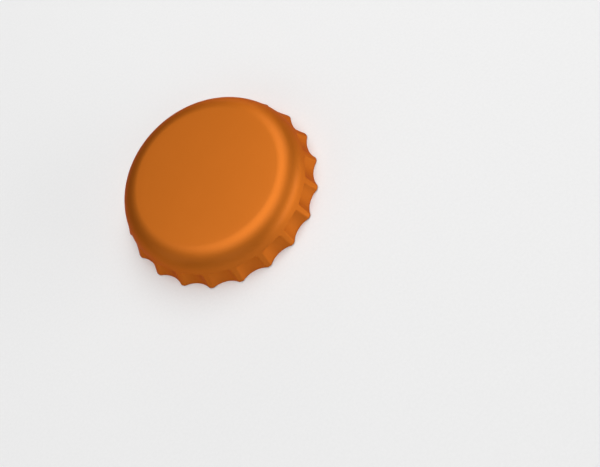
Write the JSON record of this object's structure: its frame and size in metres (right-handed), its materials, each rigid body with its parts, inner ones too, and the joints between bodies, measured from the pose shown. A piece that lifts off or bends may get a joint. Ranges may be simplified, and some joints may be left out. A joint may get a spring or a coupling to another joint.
{
  "type": "bottle cap",
  "caption": "Crown bottle cap: a shallow round cover with a rounded shoulder, a flared fluted skirt and a ring seal moulded inside.",
  "frame": {"origin": "centre of the plane that the cap stands on, open side down, on the cap's axis", "axes": "+Z along the cap's axis, out through the flat panel; +X through the middle of a tooth"},
  "size_m": [0.0319, 0.032, 0.006],
  "materials": {
    "lacquered_tinplate": "satin",
    "sealing_compound": "satin"
  },
  "bodies": {
    "root": {"shell": "lacquered_tinplate", "liner": "sealing_compound"}
  },
  "joints": []
}
